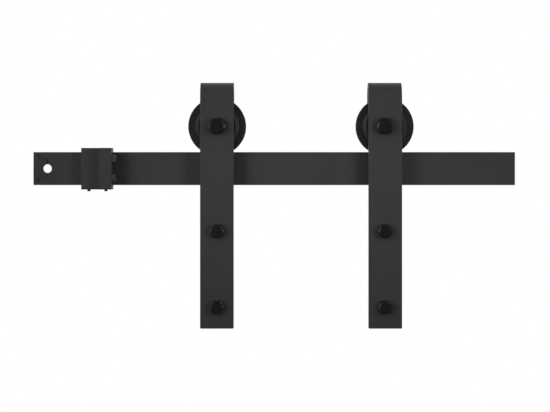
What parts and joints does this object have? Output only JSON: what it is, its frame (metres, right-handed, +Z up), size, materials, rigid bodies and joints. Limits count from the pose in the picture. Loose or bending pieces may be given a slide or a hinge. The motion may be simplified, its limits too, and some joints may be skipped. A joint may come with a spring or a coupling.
{
  "type": "sliding barn door track with strap hangers",
  "caption": "Flat steel rail for a sliding barn door, with an end stop and J-shaped strap hangers that roll on grooved wheels.",
  "frame": {"origin": "midway between the two wall holes, on the back face of the rail", "axes": "+X along the rail away from its joint, +Y to the wall, +Z up"},
  "size_m": [0.584, 0.0655, 0.297],
  "materials": {
    "powder_coat": "satin black powder coat",
    "black_oxide": "black oxide, half gloss",
    "black_nylon": "turned nylon, satin",
    "zinc_steel": "zinc plate",
    "bearing_steel": "ground and polished",
    "nylon_insert": "moulded nylon"
  },
  "bodies": {
    "track": {"rail": "powder_coat", "rail_joint_tongue": "powder_coat", "stop_body": "powder_coat", "stop_set_screws": "black_oxide", "stop_bolts": "powder_coat"},
    "left_hanger": {"left_strap": "powder_coat", "left_axle_bolt": "black_oxide", "left_axle_spacers": "zinc_steel", "left_axle_washer": "black_oxide", "left_axle_nut": "black_oxide", "left_axle_nut_insert": "nylon_insert", "left_door_bolts": "black_oxide", "left_door_washers": "black_oxide", "left_door_nuts": "black_oxide", "left_bearing_inner_race": "bearing_steel"},
    "left_roller": {"left_wheel": "black_nylon", "left_bearing_outer_race": "bearing_steel", "left_bearing_shields": "zinc_steel"},
    "left_cage": {"left_bearing_cage": "zinc_steel", "left_bearing_balls": "bearing_steel"},
    "right_hanger": {"right_strap": "powder_coat", "right_axle_bolt": "black_oxide", "right_axle_spacers": "zinc_steel", "right_axle_washer": "black_oxide", "right_axle_nut": "black_oxide", "right_axle_nut_insert": "nylon_insert", "right_door_bolts": "black_oxide", "right_door_washers": "black_oxide", "right_door_nuts": "black_oxide", "right_bearing_inner_race": "bearing_steel"},
    "right_roller": {"right_wheel": "black_nylon", "right_bearing_outer_race": "bearing_steel", "right_bearing_shields": "zinc_steel"},
    "right_cage": {"right_bearing_cage": "zinc_steel", "right_bearing_balls": "bearing_steel"}
  },
  "joints": [
    {"name": "left_hanger_roll", "type": "slide", "parent": "track", "child": "left_hanger", "axis": [1, 0, 0], "range_m": [-0.1, 0.066]},
    {"name": "left_wheel_spin", "type": "hinge", "parent": "left_hanger", "child": "left_roller", "pos_m": [0.0027, -0.003, 0.0511], "axis": [0, 1, 0], "continuous": true},
    {"name": "left_cage_spin", "type": "hinge", "parent": "left_hanger", "child": "left_cage", "pos_m": [0.0027, -0.003, 0.0511], "axis": [0, 1, 0], "continuous": true},
    {"name": "right_hanger_roll", "type": "slide", "parent": "track", "child": "right_hanger", "axis": [1, 0, 0], "range_m": [-0.066, 0.12]},
    {"name": "right_wheel_spin", "type": "hinge", "parent": "right_hanger", "child": "right_roller", "pos_m": [0.2057, -0.003, 0.0511], "axis": [0, 1, 0], "continuous": true},
    {"name": "right_cage_spin", "type": "hinge", "parent": "right_hanger", "child": "right_cage", "pos_m": [0.2057, -0.003, 0.0511], "axis": [0, 1, 0], "continuous": true}
  ],
  "couplings": [
    {"joint": "left_wheel_spin", "follows": "left_hanger_roll", "rad_per_m": 32.258},
    {"joint": "left_cage_spin", "follows": "left_hanger_roll", "rad_per_m": 20.528},
    {"joint": "right_wheel_spin", "follows": "right_hanger_roll", "rad_per_m": 32.258},
    {"joint": "right_cage_spin", "follows": "right_hanger_roll", "rad_per_m": 20.528}
  ]
}
